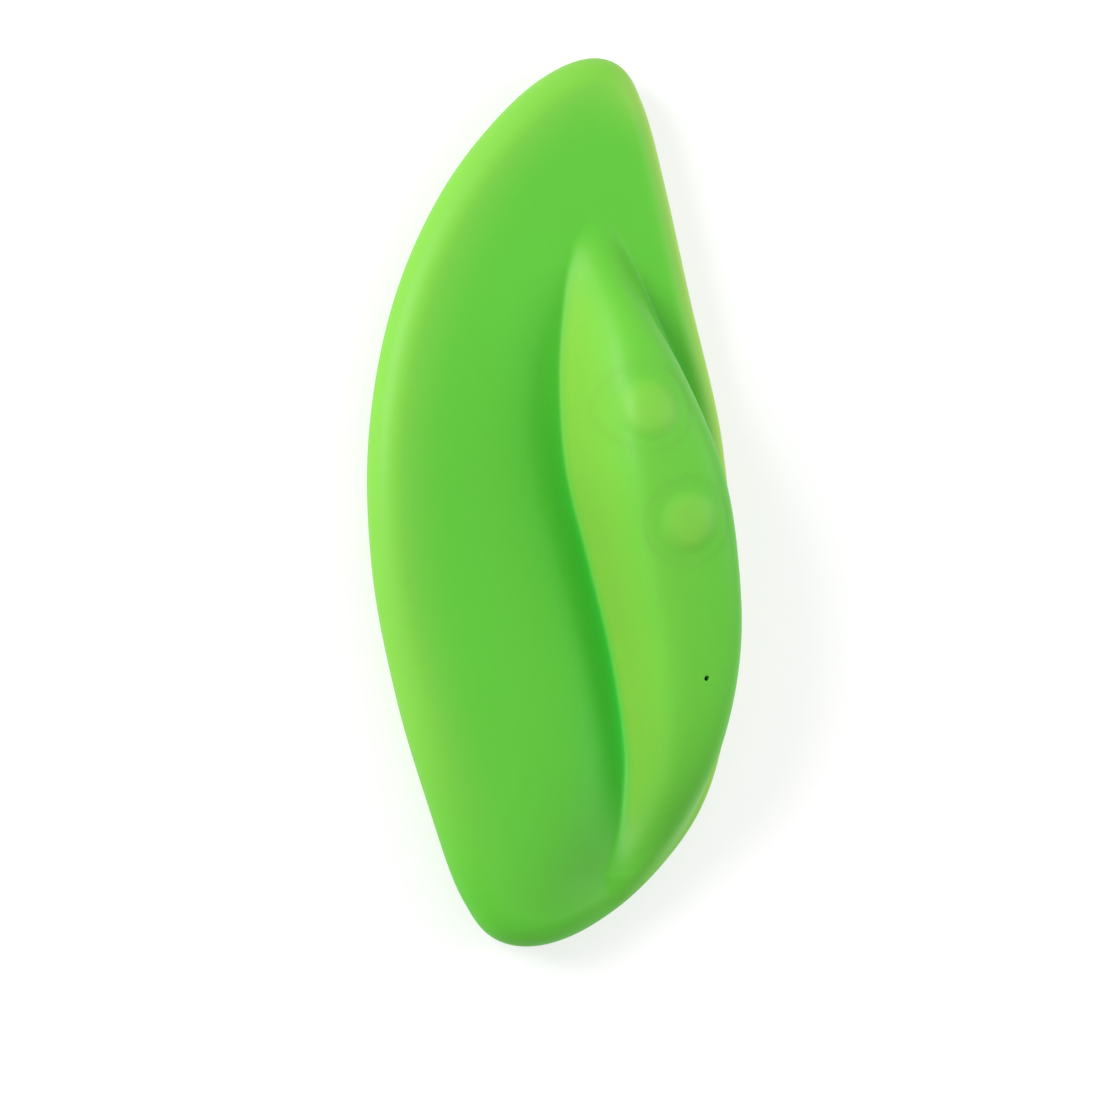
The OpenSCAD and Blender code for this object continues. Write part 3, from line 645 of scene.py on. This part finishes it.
def silicone(colours):
    """Satin silicone: lighter and yellower with painted light on its rims, the pod's left flank and the press
    areas, lighter and greener with painted fill light in the hollow, darker with painted shade on its lower tip,
    and with a very fine skin texture.
    """
    s = Shader("Satin silicone")
    # Painted light, painted fill light and painted shade come in as mesh attributes and are mixed into the base
    # colour.
    painted_light = s.node("ShaderNodeAttribute", {"attribute_name": "painted_light"}, output="Fac")
    painted_fill = s.node("ShaderNodeAttribute", {"attribute_name": "painted_fill"}, output="Fac")
    cloud = s.noise(55.0, 3.0)
    painted_shade = s.node("ShaderNodeAttribute", {"attribute_name": "painted_shade"}, output="Fac")
    plain = s.mix(cloud, shade(colours.silicone, 0.97), shade(colours.silicone, 1.03))
    tone = s.mix(painted_shade, plain, shade(colours.silicone, 0.8))
    colour = s.mix(painted_fill, s.mix(painted_light, tone, colours.painted_light_silicone), colours.painted_fill_silicone)
    grain = s.noise(2600.0, 2.0)
    ripple = s.noise(240.0, 2.0)
    relief = grain * 0.6 + ripple * 0.4
    return s.finish(
        Base_Color=colour,
        Roughness=0.46 + cloud * 0.06 + grain * 0.04,
        Subsurface_Weight=0.25,
        Subsurface_Radius=(0.6, 1.0, 0.1),
        Subsurface_Scale=0.0025,
        Specular_IOR_Level=0.3,
        Normal=s.bump(relief, 0.00002, 0.5),
    )


def moulded(name, colour, roughness=0.45, grain=1400.0):
    """Moulded plastic or rubber with a fine spark-eroded grain and faint flow marks."""
    s = Shader(name)
    fine = s.noise(grain, 3.0)
    flow = s.noise(90.0, 2.0, (1.0, 0.25, 1.0))
    tone = s.mix(flow, shade(colour, 0.92), shade(colour, 1.06))
    return s.finish(
        Base_Color=tone, Roughness=roughness + fine * 0.12, Normal=s.bump(fine, 0.00003, 0.6)
    )


def metal(name, colour, roughness=0.28, stretch=(1.0, 0.05, 1.0)):
    """Drawn or rolled metal with streaks along one way and slight tarnish."""
    s = Shader(name)
    streak = s.noise(2200.0, 2.0, stretch)
    tarnish = s.noise(160.0, 4.0)
    tone = s.mix(tarnish, shade(colour, 0.8), shade(colour, 1.05))
    return s.finish(
        Base_Color=tone,
        Metallic=1.0,
        Roughness=roughness + streak * 0.15 + tarnish * 0.08,
        Normal=s.bump(streak, 0.00001, 0.4),
    )


def sintered(name, colour, metallic=1.0):
    """Pressed and sintered powder with tiny open pores."""
    s = Shader(name)
    pore = s.cells(1500.0)
    grain = s.noise(700.0, 4.0)
    tone = s.mix(grain, shade(colour, 0.7), shade(colour, 1.15))
    relief = pore * 0.7 + grain * 0.3
    return s.finish(
        Base_Color=tone, Metallic=metallic, Roughness=0.5 + grain * 0.2, Normal=s.bump(relief, 0.00004, 0.7)
    )


def banded(name, colour, gap_colour, pitch, turn, metallic=1.0):
    """Stacked sheets or wound wire: bands across the motor's axis with dark gaps."""
    s = Shader(name)
    band = s.bands(pitch, "Y", turn)
    wear = s.noise(400.0, 3.0)
    tone = s.mix(band**0.5, gap_colour, colour)
    return s.finish(
        Base_Color=tone, Metallic=metallic, Roughness=0.3 + wear * 0.2, Normal=s.bump(band, 0.00006, 0.8)
    )


def pouch_foil(name, colour):
    """Laminated pouch foil with soft creases."""
    s = Shader(name)
    crease = s.noise(110.0, 5.0)
    fine = s.noise(900.0, 2.0)
    tone = s.mix(crease, shade(colour, 0.85), shade(colour, 1.1))
    return s.finish(
        Base_Color=tone, Metallic=0.9, Roughness=0.3 + fine * 0.15, Normal=s.bump(crease, 0.0002, 0.5)
    )


def circuit_board(name, colour):
    """Solder mask with raised tracks under it and tinned pads."""
    s = Shader(name)
    track = s.bands(420.0, "X") > 0.72
    gap = s.bands(130.0, "Y", 0.6) > 0.35
    tracks = track * gap
    pads = 1 - (s.cells(620.0) > 0.22)
    spots = pads * (s.noise(140.0, 1.0) > 0.56)
    mask = s.mix(tracks, colour, shade(colour, 1.9))
    tone = s.mix(spots, mask, (0.62, 0.58, 0.5))
    return s.finish(
        Base_Color=tone, Metallic=spots * 0.9, Roughness=0.35 - spots * 0.1, Normal=s.bump(tracks, 0.00003, 0.6)
    )


def foam(name, colour):
    """Closed-cell foam."""
    s = Shader(name)
    cell = s.cells(1100.0)
    tone = s.mix(cell, shade(colour, 0.6), shade(colour, 1.3))
    return s.finish(Base_Color=tone, Roughness=0.9 - cell * 0.1, Normal=s.bump(cell, 0.0001, 0.8))


def paint(material, *nodes):
    """Gives CAD nodes a material in place of the one that they came with."""
    for name in nodes:
        data = frame["nodes"][name].data
        data.materials.clear()
        data.materials.append(material)


# ---- Operators ----


class MASSAGER_OT_stage(bpy.types.Operator):
    """Adds the camera, a pale floor and soft studio light"""

    bl_idname = "massager.stage"
    bl_label = "Stage"

    def execute(self, context):
        settings = context.scene.massager_stage
        tilt = settings.tilt
        right = Vector((math.cos(tilt), 0, math.sin(tilt)))
        back = Vector((-math.sin(tilt), 0, math.cos(tilt)))
        aim = right * AIM[0] + Vector((0, AIM[1], 0)) + back * AIM[2]
        camera = bpy.data.objects.new("Camera", bpy.data.cameras.new("Camera"))
        camera.data.lens = settings.lens
        camera.data.sensor_width = 36.0
        camera.data.clip_start = 0.01
        context.scene.collection.objects.link(camera)
        axes = Matrix((right, Vector((0, 1, 0)), back)).transposed().to_4x4()
        camera.matrix_world = Matrix.Translation(aim + back * settings.distance) @ axes
        context.scene.camera = camera
        self.add_floor(context, settings.floor)
        self.add_light(context, "Key", (-0.42, 0.16, 0.28), 0.30, 2.7)
        self.add_light(context, "Fill", (0.42, 0.06, 0.30), 0.35, 1.2)
        world = bpy.data.worlds.new("Studio")
        world.use_nodes = True
        world.node_tree.nodes["Background"].inputs["Color"].default_value = rgba(WHITE)
        world.node_tree.nodes["Background"].inputs["Strength"].default_value = 0.6
        context.scene.world = world
        context.scene.view_settings.view_transform = "Standard"
        return {"FINISHED"}

    def add_floor(self, context, colour):
        half = 1.5
        corners = [(-half, -half, 0), (half, -half, 0), (half, half, 0), (-half, half, 0)]
        data = bpy.data.meshes.new("Floor")
        data.from_pydata(corners, [], [(0, 1, 2, 3)])
        floor = bpy.data.objects.new("Floor", data)
        context.scene.collection.objects.link(floor)
        s = Shader("Pale floor")
        cloud = s.noise(8.0, 2.0)
        tone = s.mix(cloud, shade(colour, 0.99), shade(colour, 1.01))
        data.materials.append(s.finish(
            Base_Color=tone, Roughness=0.9, Specular_IOR_Level=0.1,
            Emission_Color=rgba(WHITE), Emission_Strength=0.5,
        ))

    def add_light(self, context, name, place, size, power):
        data = bpy.data.lights.new(name, "AREA")
        data.shape = "DISK"
        data.size = size
        data.energy = power
        light = bpy.data.objects.new(name, data)
        light.location = place
        light.rotation_euler = (-Vector(place)).to_track_quat("-Z", "Y").to_euler()
        context.scene.collection.objects.link(light)


class MASSAGER_OT_skin(bpy.types.Operator):
    """Makes the silicone skin with its two press areas and its charging pinhole"""

    bl_idname = "massager.skin"
    bl_label = "Silicone skin"

    def execute(self, context):
        sizes = context.scene.massager_sizes
        form = LeafForm(sizes)
        material = silicone(context.scene.massager_colours)
        mesh = leaf_mesh(form)
        pinhole = box_centre("jack_housing")
        foot = drill_pinhole(mesh, form, pinhole, sizes.pinhole_radius / MM)
        normals = mesh.normals()
        cavity = cavity_mesh(form)
        holes = [(pinhole, 0.9, foot)]
        buttons = zip(form.pads, ("power", "mode"))
        for pad, name in buttons:
            faces, loop = mesh.take(near(mesh, pad, sizes.patch_radius / MM, form.blade_top + 3))
            self.add_press_area(name, mesh, faces, loop, normals, form, pad, sizes, material)
            holes.append((pad, sizes.pad_radius / MM + 0.15, loop))
        cut = [(centre, outer, cavity.take(near(cavity, centre, size, form.blade_top))[1])
               for centre, size, outer in holes]
        normals = np.vstack([normals, cavity.normals()])
        shift = mesh.add(cavity)
        for centre, outer, inner in cut:
            mesh.faces += zip_loops(mesh.points, outer[::-1], [i + shift for i in inner], centre)
        skin = build_object("skin", mesh, normals, self.tones(form, mesh.points))
        skin.data.materials.append(material)
        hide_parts("silicone_skin")
        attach(skin, "root")
        return {"FINISHED"}

    def tones(self, form, points):
        """Where light and shade are painted on the silicone: painted light on its rims, the pod's left flank and
        the press areas, painted fill light in the hollow and the crease on the pod's upper right, and painted
        shade on its lower tip.
        """
        x, y = points[:, 0], points[:, 1]
        # Painted rim light along the leaf's rim, wider and stronger on its right side
        right = smooth_step((x - form.middle(y)) / 10)
        inside = form.depth(x, y) / form.rim
        rim = np.exp(-((inside / (1.6 - right)) ** 2))
        rim = rim * smooth_step((y + form.half) / 35) * (0.35 + 0.65 * right)
        # Painted light on the pod, mostly along its left edge, which faces the key light, and a painted highlight
        # on the press areas
        reach = form.reach(x, y)
        left = (form.pod(y, 1) - x) / form.pod(y, 2)
        edge = np.exp(-(((1 - reach) / 0.22) ** 2)) * smooth_step(1.5 * left)
        pod = (0.1 + 0.1 * left + 0.3 * edge) * smooth_step((1.1 - reach) / 0.12)
        pod = pod * np.minimum(1, form.pod(y, 3) / 10)
        press = form.crown(x, y) / form.pad_dome
        # Painted fill light in the hollow on the pod's left and in the crease on its upper right
        out = np.clip((reach - 1) * form.pod(y, 2) / form.hollow_width, 0, 1)
        painted_fill = form.pod(y, 4) / 2.6 * (1 - out) ** 2 * smooth_step((reach - 1) / 0.1)
        painted_fill = painted_fill * (x < form.pod(y, 1)) * smooth_step((y + 50) / 20)
        crease_painted_fill = 0.5 * np.exp(-(((reach - 1.04) / 0.08) ** 2)) * smooth_step(-3 * left)
        crease_painted_fill = crease_painted_fill * smooth_step(y / 10) * smooth_step((28 - y) / 12)
        # Painted shade on the lower tip, away from its rim
        painted_shade = smooth_step((-20 - y) / 30) * smooth_step((x - form.middle(y) + 12) / 15)
        painted_shade = painted_shade * (1 - 0.8 * np.exp(-(inside**2)))
        # Masks from 0 to 1 for painted light, painted fill light and painted shade
        return {
            "painted_light": np.clip(rim + pod + 0.2 * press, 0, 1),
            "painted_fill": np.clip(painted_fill + crease_painted_fill, 0, 1),
            "painted_shade": np.clip(painted_shade, 0, 1),
        }

    def add_press_area(self, name, mesh, faces, loop, normals, form, pad, sizes, material):
        patch, patch_normals, used = closed_patch(
            mesh, faces, loop, normals, sizes.patch_thickness / MM
        )
        piece = build_object(f"{name}_press_area", patch, patch_normals, self.tones(form, patch.points))
        piece.data.materials.append(material)
        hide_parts(f"{name}_button_pad")
        step = 0.5

        def slope(dx, dy):
            """Slope of the pod under the press area, along one way."""
            ahead = form.full_top(pad.x + dx, pad.y + dy)
            behind = form.full_top(pad.x - dx, pad.y - dy)
            return (ahead - behind) / (2 * step)

        facing = Vector((-slope(step, 0), -slope(0, step), 1)).normalized()
        foot = Vector((pad.x, pad.y, float(form.full_top(pad.x, pad.y)))) * MM
        start = foot + facing * form.pad_dome * MM * 0.05
        end = foot + facing * form.pad_dome * MM * 0.95
        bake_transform(piece)


class MASSAGER_OT_capsule(bpy.types.Operator):
    """Finishes the capsule's shells, screws and button plungers"""

    bl_idname = "massager.capsule"
    bl_label = "Capsule"

    def execute(self, context):
        colours = context.scene.massager_colours
        shell = moulded("Capsule plastic", colours.shell, 0.5)
        paint(shell, "front_shell", "back_shell", "power_button_plunger", "mode_button_plunger")
        paint(metal("Screw steel", (0.5, 0.5, 0.52)), "shell_screws", "board_screws")
        return {"FINISHED"}


class MASSAGER_OT_motor(bpy.types.Operator):
    """Finishes the vibration motor"""

    bl_idname = "massager.motor"
    bl_label = "Motor"

    def execute(self, context):
        spin = next(joint for joint in frame["joints"] if joint["name"] == "motor_spin")
        turn = math.atan2(spin["axis"][0], spin["axis"][1])
        copper = (0.66, 0.26, 0.11)
        paint(metal("Motor can", (0.52, 0.53, 0.55)), "motor_can", "motor_shaft")
        paint(sintered("Ferrite", (0.03, 0.03, 0.035), 0.1), "motor_magnets")
        paint(moulded("White nylon", (0.78, 0.77, 0.73), 0.4), "motor_end_cap")
        paint(sintered("Oiled bronze", (0.5, 0.3, 0.12)), "motor_front_bush", "motor_rear_bush")
        paint(metal("Copper", copper, 0.25), "motor_brushes", "commutator")
        paint(metal("Gold plate", (0.78, 0.54, 0.2), 0.2), "motor_terminals")
        paint(moulded("Damping rubber", (0.015, 0.015, 0.016), 0.7), "motor_sleeve")
        paint(banded("Core laminations", (0.38, 0.39, 0.41), (0.05, 0.05, 0.05), 700.0, turn), "armature_core")
        paint(banded("Enamelled wire", copper, shade(copper, 0.15), 1100.0, turn, 0.8), "armature_windings")
        paint(sintered("Tungsten alloy", (0.26, 0.26, 0.27)), "eccentric_weight")
        return {"FINISHED"}


class MASSAGER_OT_battery(bpy.types.Operator):
    """Finishes the cell, its tabs, its protection board and its pad"""

    bl_idname = "massager.battery"
    bl_label = "Battery"

    def execute(self, context):
        colours = context.scene.massager_colours
        paint(pouch_foil("Pouch foil", (0.6, 0.61, 0.63)), "battery_cell")
        paint(metal("Nickel strip", (0.6, 0.58, 0.53)), "battery_tabs")
        paint(circuit_board("Protection board", colours.board), "battery_protection_board")
        paint(foam("Foam pad", (0.06, 0.06, 0.065)), "battery_foam_pad")
        return {"FINISHED"}


class MASSAGER_OT_electronics(bpy.types.Operator):
    """Finishes the control board, its chips, its switches and the charging jack"""

    bl_idname = "massager.electronics"
    bl_label = "Electronics"

    def execute(self, context):
        colours = context.scene.massager_colours
        dark = moulded("Black plastic", (0.012, 0.012, 0.013), 0.4)
        nickel = metal("Stamped nickel", (0.62, 0.6, 0.55), 0.25)
        gold = metal("Contact gold", (0.8, 0.56, 0.2), 0.18)
        paint(circuit_board("Control board", colours.board), "control_board")
        paint(dark, "microcontroller", "charge_chip", "jack_housing")
        paint(dark, "power_switch_base", "mode_switch_base")
        paint(nickel, "power_switch_cover", "mode_switch_cover", "jack_sleeve_contact")
        paint(gold, "jack_centre_contact")
        for name in ("power", "mode"):
            self.add_snap_dome(name, gold)
        paint(moulded("Grey plastic", (0.09, 0.09, 0.095)), "power_switch_stem", "mode_switch_stem")
        paint(sintered("Fired ceramic", (0.3, 0.19, 0.1), 0.0), "board_passives")
        paint(moulded("Milky lens", (0.8, 0.8, 0.76), 0.25), "indicator_led")
        return {"FINISHED"}

    def add_snap_dome(self, name, material):
        """A snap dome, which flattens when its button goes down, made here in its rest shape in place of the CAD
        dome.
        """
        node = f"{name}_switch_dome"
        mesh = snap_dome_mesh(node)
        piece = build_object(f"{name}_snap_dome", mesh, mesh.normals(), {})
        piece.data.materials.append(material)
        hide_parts(node)
        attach(piece, "root")
        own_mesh(piece)


class MASSAGER_OT_leads(bpy.types.Operator):
    """Finishes the leads inside the capsule"""

    bl_idname = "massager.leads"
    bl_label = "Leads"

    def execute(self, context):
        red = moulded("Red lead", (0.45, 0.012, 0.01), 0.5, 900.0)
        black = moulded("Black lead", (0.012, 0.012, 0.012), 0.5, 900.0)
        for part in ("motor", "battery", "jack"):
            paint(red, f"{part}_lead_red")
            paint(black, f"{part}_lead_black")
        return {"FINISHED"}


class MASSAGER_PT_panel(bpy.types.Panel):
    """Lists the steps that dress the massager"""

    bl_idname = "MASSAGER_PT_panel"
    bl_label = "Palm massager"
    bl_space_type = "VIEW_3D"
    bl_region_type = "UI"
    bl_category = "Massager"

    def draw(self, context):
        for operator in OPERATORS:
            self.layout.operator(operator.bl_idname)
        for group in ("massager_sizes", "massager_colours", "massager_stage"):
            settings = getattr(context.scene, group)
            column = self.layout.column()
            for name in settings.__annotations__:
                column.prop(settings, name)


OPERATORS = (
    MASSAGER_OT_stage,
    MASSAGER_OT_skin,
    MASSAGER_OT_capsule,
    MASSAGER_OT_motor,
    MASSAGER_OT_battery,
    MASSAGER_OT_electronics,
    MASSAGER_OT_leads,
)
GROUPS = (LeafSizes, FinishColours, StageSettings)


def register():
    for cls in (*GROUPS, *OPERATORS, MASSAGER_PT_panel):
        bpy.utils.register_class(cls)
    bpy.types.Scene.massager_sizes = bpy.props.PointerProperty(type=LeafSizes)
    bpy.types.Scene.massager_colours = bpy.props.PointerProperty(type=FinishColours)
    bpy.types.Scene.massager_stage = bpy.props.PointerProperty(type=StageSettings)


def unregister():
    for name in ("massager_sizes", "massager_colours", "massager_stage"):
        delattr(bpy.types.Scene, name)
    for cls in reversed((*GROUPS, *OPERATORS, MASSAGER_PT_panel)):
        bpy.utils.unregister_class(cls)


def main():
    register()
    bpy.ops.massager.stage()
    bpy.ops.massager.skin()
    bpy.ops.massager.capsule()
    bpy.ops.massager.motor()
    bpy.ops.massager.battery()
    bpy.ops.massager.electronics()
    bpy.ops.massager.leads()


if __name__ == "__main__":
    main()
